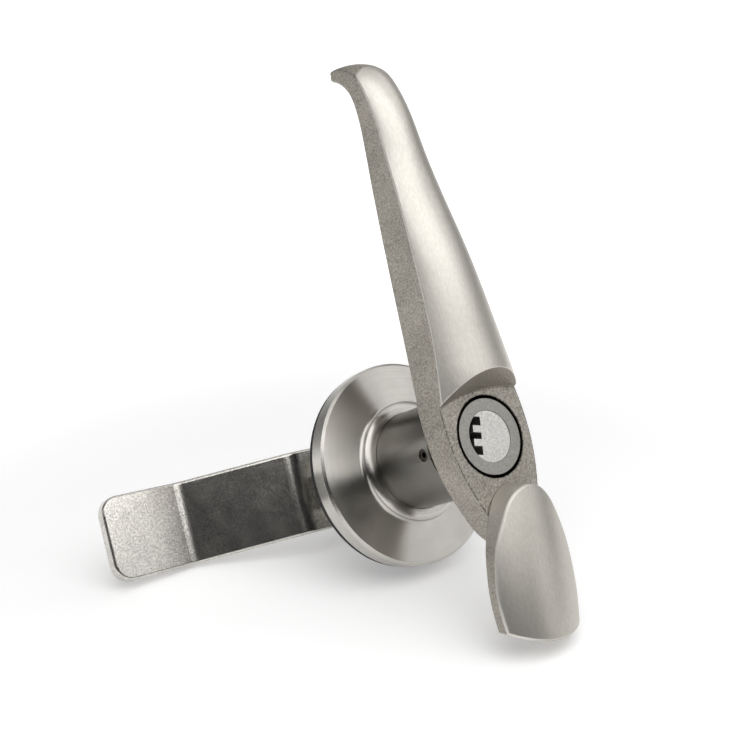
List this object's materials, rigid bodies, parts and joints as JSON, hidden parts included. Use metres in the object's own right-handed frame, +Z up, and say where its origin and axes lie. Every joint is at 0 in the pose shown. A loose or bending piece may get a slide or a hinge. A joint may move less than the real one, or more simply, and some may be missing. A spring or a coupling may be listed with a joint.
{
  "type": "cabinet handle lock",
  "caption": "Turning lever handle lock for a cabinet door, with a round rose, a key cylinder under a swinging dust cover and a bent cam.",
  "frame": {"origin": "on the spindle axis, at the door's front surface, where the gasket's back face lies", "axes": "+Z up along the lever, +X to the right seen from the front, +Y through the door into the cabinet"},
  "size_m": [0.0879, 0.0826, 0.1381],
  "materials": {
    "cast_steel": "satin, fine blasted",
    "turned_steel": "bright turned",
    "cam_steel": "satin, tumbled",
    "plated_nut": "zinc plated",
    "spring_steel": "plain spring steel",
    "cylinder_metal": "satin plated",
    "plug_metal": "satin plated",
    "wafer_brass": "stamped",
    "seal_rubber": "matt",
    "bearing_plastic": "plain acetal"
  },
  "bodies": {
    "rose": {"rose_housing": "turned_steel", "panel_gasket": "seal_rubber", "tooth_washer": "spring_steel", "barrel_nut": "plated_nut", "thrust_washer": "bearing_plastic"},
    "handle": {"neck_shank": "turned_steel", "cylinder_grub_screw": "spring_steel", "spindle_seal_ring": "seal_rubber", "retaining_ring": "spring_steel", "stop_disc": "cam_steel", "cam": "cam_steel", "cam_washer": "plated_nut", "cam_spring_washer": "spring_steel", "cam_screw": "plated_nut", "lever": "cast_steel", "cylinder_body": "cylinder_metal", "pivot_spring": "spring_steel"},
    "plug": {"lock_plug": "plug_metal", "wafers": "wafer_brass", "plug_clip": "spring_steel", "plug_crank": "cam_steel"},
    "bolt": {"lock_bolt": "cam_steel"},
    "cover": {"dust_cover": "cast_steel", "cover_pin": "spring_steel", "pin_clip": "spring_steel"}
  },
  "joints": [
    {"name": "handle_turn", "type": "hinge", "parent": "rose", "child": "handle", "pos_m": [0, 0, 0], "axis": [0, 1, 0], "range_deg": [0, 90]},
    {"name": "plug_turn", "type": "hinge", "parent": "handle", "child": "plug", "pos_m": [0, 0, 0], "axis": [0, 1, 0], "range_deg": [0, 90]},
    {"name": "bolt_slide", "type": "slide", "parent": "handle", "child": "bolt", "axis": [0, 0, 1], "range_m": [0, 0.00201]},
    {"name": "cover_swing", "type": "hinge", "parent": "handle", "child": "cover", "pos_m": [0, -0.0376, -0.0175], "axis": [0, 1, 0], "range_deg": [-11.3, 168.7]}
  ],
  "couplings": [
    {"joint": "bolt_slide", "follows": "plug_turn", "m_per_rad": 0.0012732}
  ]
}
